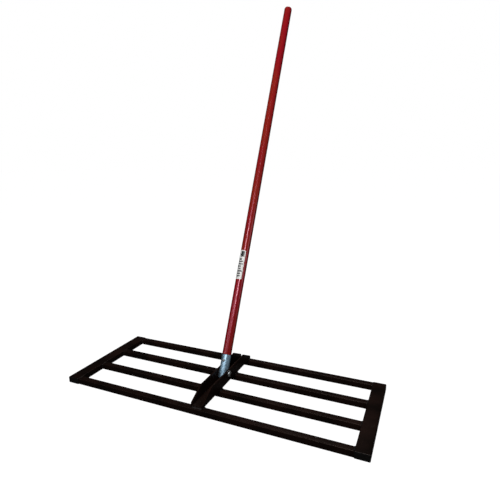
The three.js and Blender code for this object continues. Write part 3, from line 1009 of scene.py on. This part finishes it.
def wood_shape():
    """The turned handle, with the softer wood between its growth rings sunk a little."""
    shoulder = ferrule_high.z + 0.03 * MM
    rings = []
    for radius, z in wood_profile(shoulder):
        relief = GRAIN_RELIEF if z > shoulder + WOOD_EDGE else 0
        ring = []
        for x, y, z in circle(radius, z):
            sunk = 1 - relief * grain_depth(x, y, z) / radius
            ring.append((x * sunk, y * sunk, z))
        rings.append(ring)
    return loft(rings)


wood = add_piece("lacquered_handle", wood_shape(), LACQUER, handle_space, SOFT_CREASE)
cut(wood, *(screw_drill(node) for node in SCREWS))
settle(wood, "handle", "red_lacquered_wood", "wood_handle")


# Label

LABEL_PAPER = 0.16 * MM
LABEL_GLUE = 0.01 * MM
LABEL_CORNER = 2.2 * MM
LABEL_COLUMNS = 28
LABEL_ROWS = 64
# How far the outside of the CAD's label stands off the wood.
LABEL_CAD_LIFT = 0.65 * MM


def label_shape():
    """A thin sheet with round corners, wrapped on the wood, and its flat (u, v) at each point."""
    low, high = extent("handle_label", handle_space)
    cad_radius = wood_radius(low.z) + LABEL_CAD_LIFT
    left, right = math.asin(low.x / cad_radius), math.asin(high.x / cad_radius)
    middle = (left + right) / 2 - math.pi / 2
    half_width = (right - left) / 2 * wood_radius(low.z)
    columns, rows = LABEL_COLUMNS, LABEL_ROWS
    length = high.z - low.z
    top, uv = [], []
    for row in range(rows + 1):
        v = 0.5 - 0.5 * math.cos(math.pi * row / rows)
        z = low.z + v * length
        from_end = min(v, 1 - v) * length
        short = max(0, LABEL_CORNER - from_end)
        trim = LABEL_CORNER - math.sqrt(max(0, LABEL_CORNER ** 2 - short ** 2))
        for column in range(columns + 1):
            u = column / columns
            across = (2 * u - 1) * (half_width - trim)
            angle = middle + across / wood_radius(z)
            top.append((angle, z))
            uv.append((0.5 + 0.5 * across / half_width, v))
    points = []
    for lift in (LABEL_PAPER, LABEL_GLUE):
        for angle, z in top:
            radius = wood_radius(z) + lift
            points.append((radius * math.cos(angle), radius * math.sin(angle), z))
    width = columns + 1
    under = len(top)
    faces = []
    for row in range(rows):
        for column in range(columns):
            i = row * width + column
            quad = (i, i + 1, i + width + 1, i + width)
            faces.append(quad)
            faces.append(tuple(under + k for k in reversed(quad)))
    rim = list(range(width))
    rim += [row * width + columns for row in range(1, rows + 1)]
    rim += [rows * width + column for column in range(columns - 1, -1, -1)]
    rim += [row * width for row in range(rows - 1, 0, -1)]
    for i, j in zip(rim, rim[1:] + rim[:1]):
        faces.append((j, i, under + i, under + j))
    return points, faces, uv + uv


points, faces, flat = label_shape()
label = add_piece("plain_label", (points, faces), PAPER, handle_space)
layer = label.data.uv_layers.new(name="label")
for loop in label.data.loops:
    layer.data[loop.index].uv = flat[loop.vertex_index]
settle(label, "handle", "label_paper", "handle_label")


# Stage, light and camera

FLOOR_HALF = 30.0
FLOOR_DROP = 0.2 * MM
FLOOR_GREY = 0.08
PAPER_WHITE = 1.0
ROOM = (0.022, 0.023, 0.025)

# The camera's place and its angles in degrees, fitted to the edges of the head and the handle.
CAMERA_FROM_PIVOT = Vector((0.53845, -1.01934, 0.62211))
CAMERA_HEADING = 23.696
CAMERA_DIP = 11.952
CAMERA_ROLL = -0.502
CAMERA_LENS = 29.764


def make_floor():
    """White paper to the camera, but too dim to throw light back on the object."""
    s = Shader("pale_floor", Roughness=0.9, Specular_IOR_Level=0.0)
    s.principled.inputs["Base Color"].default_value = (FLOOR_GREY, FLOOR_GREY, FLOOR_GREY, 1)
    s.principled.inputs["Emission Color"].default_value = (1, 1, 1, 1)
    seen = s.node("ShaderNodeLightPath").outputs["Is Camera Ray"]
    s.feed(Emission_Strength=s.math("MULTIPLY", seen, PAPER_WHITE))
    corners = [(x, y, -FLOOR_DROP) for x, y in (
        (-FLOOR_HALF, -FLOOR_HALF), (FLOOR_HALF, -FLOOR_HALF),
        (FLOOR_HALF, FLOOR_HALF), (-FLOOR_HALF, FLOOR_HALF))]
    add_piece("floor", (corners, [(0, 1, 2, 3)]), s.material)


def softbox(name, location, target, width, height, power, reach):
    """A rectangular light that only lights the object (diffuse) or only reflects in it (glossy)."""
    light = bpy.data.lights.new(name, "AREA")
    light.shape = "RECTANGLE"
    light.size = width
    light.size_y = height
    light.energy = power
    lamp = bpy.data.objects.new(name, light)
    bpy.context.scene.collection.objects.link(lamp)
    lamp.location = location
    lamp.rotation_euler = (Vector(target) - Vector(location)).to_track_quat("-Z", "Y").to_euler()
    lamp.visible_glossy = reach == "glossy"
    lamp.visible_diffuse = reach == "diffuse"


def make_world():
    """White behind the object, and a dim grey room in its reflections."""
    world = bpy.data.worlds.new("studio")
    bpy.context.scene.world = world
    world.use_nodes = True
    tree = world.node_tree
    path = tree.nodes.new("ShaderNodeLightPath")
    shade = tree.nodes.new("ShaderNodeMix")
    shade.data_type = "RGBA"
    shade.inputs[6].default_value = (*ROOM, 1)
    shade.inputs[7].default_value = (PAPER_WHITE, PAPER_WHITE, PAPER_WHITE, 1)
    tree.links.new(path.outputs["Is Camera Ray"], shade.inputs["Factor"])
    tree.links.new(shade.outputs[2], tree.nodes["Background"].inputs["Color"])


def make_camera():
    """In front of the tool and to its right, two thirds of a metre up, looking slightly down."""
    data = bpy.data.cameras.new("camera")
    data.sensor_width = 36
    data.lens = CAMERA_LENS
    data.clip_end = 200
    camera = bpy.data.objects.new("camera", data)
    bpy.context.scene.collection.objects.link(camera)
    heading = Matrix.Rotation(math.radians(CAMERA_HEADING), 4, "Z")
    dip = Matrix.Rotation(math.radians(90 - CAMERA_DIP), 4, "X")
    roll = Matrix.Rotation(math.radians(CAMERA_ROLL), 4, "Z")
    camera.matrix_world = Matrix.Translation(pivot + CAMERA_FROM_PIVOT) @ heading @ dip @ roll
    bpy.context.scene.camera = camera


make_floor()
make_world()
softbox("front_key", (0.33, -2.07, 1.81), (0, -0.1, 0.35), 0.5, 0.74, 37, "glossy")
softbox("overhead", (0.35, -1.35, 2.4), (0, 0, 0.6), 1.0, 0.8, 58, "diffuse")
softbox("left_card", (-1.5, -2.7, 1.3), (0, -0.1, 0.3), 1.3, 1.1, 14, "glossy")
softbox("right_card", (2.6, 0.1, 0.85), (0, -0.2, 0.1), 0.9, 0.9, 6, "glossy")
softbox("rear_fill", (-1.0, 2.2, 1.5), (0, 0, 0.4), 1.2, 1.0, 24, "diffuse")
softbox("rear_card", (-0.3, 1.3, 2.7), (0, -0.1, 0.3), 1.0, 0.8, 12, "glossy")
make_camera()
bpy.context.scene.view_settings.view_transform = "Standard"
